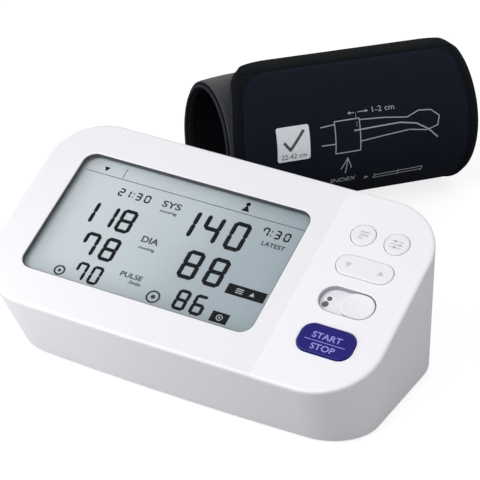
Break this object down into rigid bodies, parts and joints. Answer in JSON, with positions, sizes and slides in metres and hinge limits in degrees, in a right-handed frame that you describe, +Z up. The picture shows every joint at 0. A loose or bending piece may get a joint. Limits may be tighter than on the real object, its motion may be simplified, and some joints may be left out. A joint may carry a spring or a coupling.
{
  "type": "blood pressure monitor with wrap cuff",
  "caption": "Desktop upper-arm blood pressure monitor: white wedge case with a display window and keys, and a separate pre-shaped dark wrap cuff standing behind it.",
  "frame": {"origin": "centre of the set of monitor and cuff, on the table", "axes": "+X to the right of the monitor, +Y to its back, towards the cuff, +Z up"},
  "size_m": [0.1968, 0.3139, 0.0845],
  "materials": {
    "white_shell": "fine satin",
    "window_clear": "clear acrylic",
    "lcd_glass": "grey-green display",
    "start_key": "indigo, satin",
    "inner_plastic": "natural nylon",
    "board_green": "solder resist",
    "chip_black": "moulded",
    "screw_steel": "plated",
    "contact_steel": "nickel plated spring strip",
    "motor_can": "plated can",
    "cell_wrap": "printed film over a metal can",
    "foot_rubber": "matt",
    "soft_tube": "silicone",
    "jack_black": "moulded",
    "jack_grey": "moulded",
    "cuff_fabric": "woven nylon, near-black navy",
    "loop_fabric": "brushed loop pile",
    "hook_fabric": "hook tape",
    "bladder_film": "vinyl film",
    "core_plastic": "sprung sheet"
  },
  "bodies": {
    "monitor_case": {"top_cover": "white_shell", "middle_case": "white_shell", "base_cover": "white_shell", "rubber_feet": "foot_rubber", "case_screws": "screw_steel", "battery_cells": "cell_wrap", "battery_contacts": "contact_steel", "display_window": "window_clear", "display_glass": "lcd_glass", "display_frame": "inner_plastic", "contact_strip": "foot_rubber", "main_board": "board_green", "board_screws": "screw_steel", "board_chips": "chip_black", "tact_switches": "chip_black", "slide_switch": "chip_black", "pressure_sensor": "jack_grey", "pump_motor": "motor_can", "pump_sleeve": "foot_rubber", "pump_head": "inner_plastic", "exhaust_valve": "inner_plastic", "air_manifold": "inner_plastic", "air_tubes": "soft_tube", "air_jack": "jack_grey", "power_jack": "jack_black"},
    "battery_door": {"battery_cover": "white_shell"},
    "memory_key": {"memory_button": "white_shell"},
    "settings_key": {"settings_button": "white_shell"},
    "rocker": {"up_down_rocker": "white_shell"},
    "user_switch": {"user_switch_knob": "white_shell", "switch_slider": "chip_black"},
    "start_key": {"start_stop_button": "start_key"},
    "cuff": {"cuff_wrap": "cuff_fabric", "cuff_bladder": "bladder_film", "cuff_core": "core_plastic", "loop_patch": "loop_fabric", "hose_port": "jack_black"},
    "cuff_free_end": {"cuff_flap": "cuff_fabric", "hook_patch": "hook_fabric"}
  },
  "joints": [
    {"name": "memory_press", "type": "slide", "parent": "monitor_case", "child": "memory_key", "axis": [0, 0.4626, -0.8866], "range_m": [0, 0.0006], "stiffness_N_per_m": 600},
    {"name": "settings_press", "type": "slide", "parent": "monitor_case", "child": "settings_key", "axis": [0, 0.4626, -0.8866], "range_m": [0, 0.0006], "stiffness_N_per_m": 600},
    {"name": "start_press", "type": "slide", "parent": "monitor_case", "child": "start_key", "axis": [0, 0.4626, -0.8866], "range_m": [0, 0.0006], "stiffness_N_per_m": 600},
    {"name": "rocker_tilt", "type": "hinge", "parent": "monitor_case", "child": "rocker", "pos_m": [0.0733, -0.09749, 0.0638], "axis": [0, 0.8866, 0.4626], "range_deg": [-3, 3], "stiffness_Nm_per_rad": 0.15},
    {"name": "user_slide", "type": "slide", "parent": "monitor_case", "child": "user_switch", "axis": [-1, 0, 0], "range_m": [0, 0.008]},
    {"name": "door_swing", "type": "hinge", "parent": "monitor_case", "child": "battery_door", "pos_m": [0.0029, -0.0495, 0.0012], "axis": [1, 0, 0], "range_deg": [0, 90]},
    {"name": "cuff_lift", "type": "slide", "parent": "monitor_case", "child": "cuff", "axis": [0, 0, 1], "range_m": [0, 0.15]},
    {"name": "flap_peel", "type": "hinge", "parent": "cuff", "child": "cuff_free_end", "pos_m": [-0.00324, 0.05688, 0.03115], "axis": [0.6157, 0.788, 0], "range_deg": [0, 75]}
  ]
}
